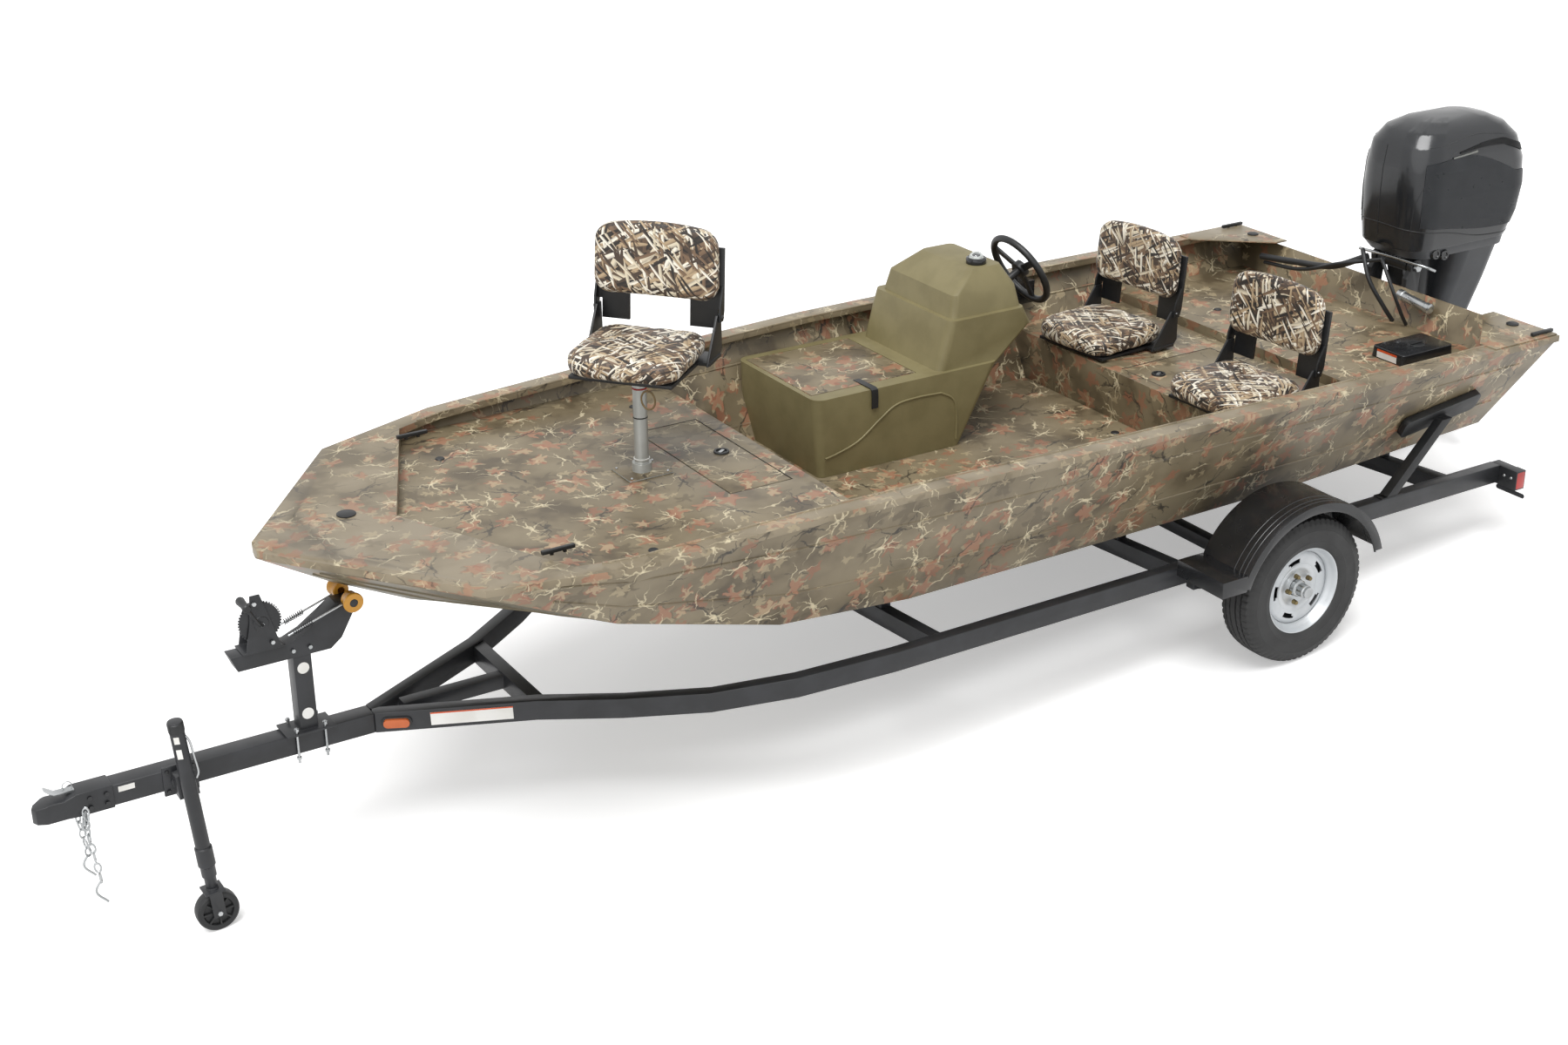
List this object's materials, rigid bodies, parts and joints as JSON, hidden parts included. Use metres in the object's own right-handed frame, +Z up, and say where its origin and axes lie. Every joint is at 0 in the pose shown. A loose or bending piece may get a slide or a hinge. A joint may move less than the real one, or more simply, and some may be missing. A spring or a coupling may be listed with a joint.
{
  "type": "jon boat on trailer",
  "caption": "Flat-bowed aluminium jon boat with side console, folding seats and tilting outboard motor, parked on its single-axle bunk trailer with the jack down.",
  "frame": {"origin": "centre of the footprint of the bounding box, on the ground", "axes": "+X forward to the coupler, +Y to port, +Z up"},
  "size_m": [6.7813, 2.256, 2.0029],
  "materials": {
    "hull_paint": "camouflage print, satin",
    "cap_paint": "satin",
    "deck_paint": "camouflage print, matt",
    "moulded_olive": "textured",
    "black_plastic": "matt",
    "cushion_cloth": "camouflage print vinyl",
    "pedestal_metal": "satin",
    "cowl_paint": "gloss",
    "motor_paint": "gloss",
    "motor_block": "plain",
    "prop_metal": "painted",
    "trailer_paint": "satin",
    "bunk_carpet": "carpeted",
    "tyre_rubber": "matt",
    "rim_paint": "silver, satin",
    "lamp_case": "red lens in black case",
    "winch_steel": "satin",
    "roller_rubber": "amber",
    "caster_rubber": "matt"
  },
  "bodies": {
    "trailer_and_boat": {"aft_deck": "deck_paint", "axle": "trailer_paint", "bow_deck": "deck_paint", "bow_rollers": "roller_rubber", "bunk_brackets": "trailer_paint", "bunks": "bunk_carpet", "clamp_bracket": "motor_paint", "cleats": "black_plastic", "console": "moulded_olive", "coupler": "trailer_paint", "cross_members": "trailer_paint", "fenders": "trailer_paint", "floor": "deck_paint", "fuel_box": "black_plastic", "guides": "black_plastic", "gunwales": "cap_paint", "helm_cushion": "cushion_cloth", "helm_fittings": "black_plastic", "helm_seat_frame": "black_plastic", "hull": "hull_paint", "jack_bracket": "trailer_paint", "lights": "lamp_case", "pedestal": "pedestal_metal", "port_cushion": "cushion_cloth", "port_seat_frame": "black_plastic", "rail_port": "trailer_paint", "rail_starboard": "trailer_paint", "springs": "trailer_paint", "tongue": "trailer_paint", "winch": "winch_steel", "winch_stand": "trailer_paint"},
    "wheel_port": {"tyre_port": "tyre_rubber", "rim_port": "rim_paint"},
    "wheel_starboard": {"tyre_starboard": "tyre_rubber", "rim_starboard": "rim_paint"},
    "jack": {"jack_tube": "trailer_paint"},
    "jack_caster": {"jack_fork": "trailer_paint"},
    "caster_roller": {"jack_wheel": "caster_rubber"},
    "hatch": {"deck_hatch": "deck_paint"},
    "bench_cover": {"bench_lid": "deck_paint"},
    "locker_cover": {"locker_lid": "moulded_olive"},
    "bow_seat": {"bow_seat_frame": "black_plastic", "bow_cushion": "cushion_cloth"},
    "bow_back": {"bow_back_frame": "black_plastic", "bow_back_pad": "cushion_cloth"},
    "helm_back": {"helm_back_frame": "black_plastic", "helm_back_pad": "cushion_cloth"},
    "port_back": {"port_back_frame": "black_plastic", "port_back_pad": "cushion_cloth"},
    "motor_mount": {"swivel_bracket": "motor_paint"},
    "motor": {"midsection": "motor_paint", "cowl": "cowl_paint", "power_head": "motor_block", "lower_unit": "motor_paint"},
    "prop": {"propeller": "prop_metal"},
    "helm_wheel": {"steering_wheel": "black_plastic"}
  },
  "joints": [
    {"name": "wheel_port_roll", "type": "hinge", "parent": "trailer_and_boat", "child": "wheel_port", "pos_m": [-1.209, 1.015, 0.3035], "axis": [0, 1, 0], "continuous": true},
    {"name": "wheel_starboard_roll", "type": "hinge", "parent": "trailer_and_boat", "child": "wheel_starboard", "pos_m": [-1.209, -1.015, 0.3035], "axis": [0, 1, 0], "continuous": true},
    {"name": "jack_swing", "type": "hinge", "parent": "trailer_and_boat", "child": "jack", "pos_m": [2.898, 0.052, 0.56985], "axis": [0, 1, 0], "range_deg": [0, 90]},
    {"name": "caster_swivel", "type": "hinge", "parent": "jack", "child": "jack_caster", "pos_m": [2.898, 0.122, 0.16], "axis": [0, 0, 1], "continuous": true},
    {"name": "caster_roll", "type": "hinge", "parent": "jack_caster", "child": "caster_roller", "pos_m": [2.898, 0.122, 0.075], "axis": [0, 1, 0], "continuous": true},
    {"name": "hatch_lift", "type": "hinge", "parent": "trailer_and_boat", "child": "hatch", "pos_m": [0.86987, 0, 1.10839], "axis": [0, 1, 0], "range_deg": [0, 95]},
    {"name": "bench_lid_lift", "type": "hinge", "parent": "trailer_and_boat", "child": "bench_cover", "pos_m": [-1.80505, 0, 0.78638], "axis": [0, -1, 0], "range_deg": [0, 80]},
    {"name": "locker_lid_lift", "type": "hinge", "parent": "trailer_and_boat", "child": "locker_cover", "pos_m": [-0.13475, -0.81, 1.03854], "axis": [0.9969, 0, 0.0791], "range_deg": [0, 85]},
    {"name": "bow_seat_swivel", "type": "hinge", "parent": "trailer_and_boat", "child": "bow_seat", "pos_m": [1.00755, 0, 1.52257], "axis": [-0.0791, 0, 0.9969], "continuous": true},
    {"name": "bow_back_fold", "type": "hinge", "parent": "bow_seat", "child": "bow_back", "pos_m": [0.84014, -0.13113, 1.65676], "axis": [-0.6408, 0.766, -0.0508], "range_deg": [0, 91]},
    {"name": "helm_back_fold", "type": "hinge", "parent": "trailer_and_boat", "child": "helm_back", "pos_m": [-1.66034, -0.45578, 0.95736], "axis": [-0.0869, 0.9962, -0.0069], "range_deg": [0, 91]},
    {"name": "port_back_fold", "type": "hinge", "parent": "trailer_and_boat", "child": "port_back", "pos_m": [-1.64582, 0.41977, 0.96052], "axis": [-0.0695, 0.9976, -0.0055], "range_deg": [0, 91]},
    {"name": "motor_tilt", "type": "hinge", "parent": "trailer_and_boat", "child": "motor_mount", "pos_m": [-2.76768, 0, 0.98389], "axis": [0, 1, 0], "range_deg": [0, 65]},
    {"name": "motor_steer", "type": "hinge", "parent": "motor_mount", "child": "motor", "pos_m": [-2.89498, 0, 0.8183], "axis": [-0.0791, 0, 0.9969], "range_deg": [-30, 30]},
    {"name": "prop_spin", "type": "hinge", "parent": "motor", "child": "prop", "pos_m": [-3.13837, 0, 0.21918], "axis": [0.9969, 0, 0.0791], "continuous": true},
    {"name": "helm_turn", "type": "hinge", "parent": "trailer_and_boat", "child": "helm_wheel", "pos_m": [-1.11456, -0.56, 1.2112], "axis": [-0.9173, 0, 0.3982], "range_deg": [-540, 540]}
  ],
  "couplings": [
    {"joint": "helm_turn", "follows": "motor_steer", "ratio": 18}
  ]
}
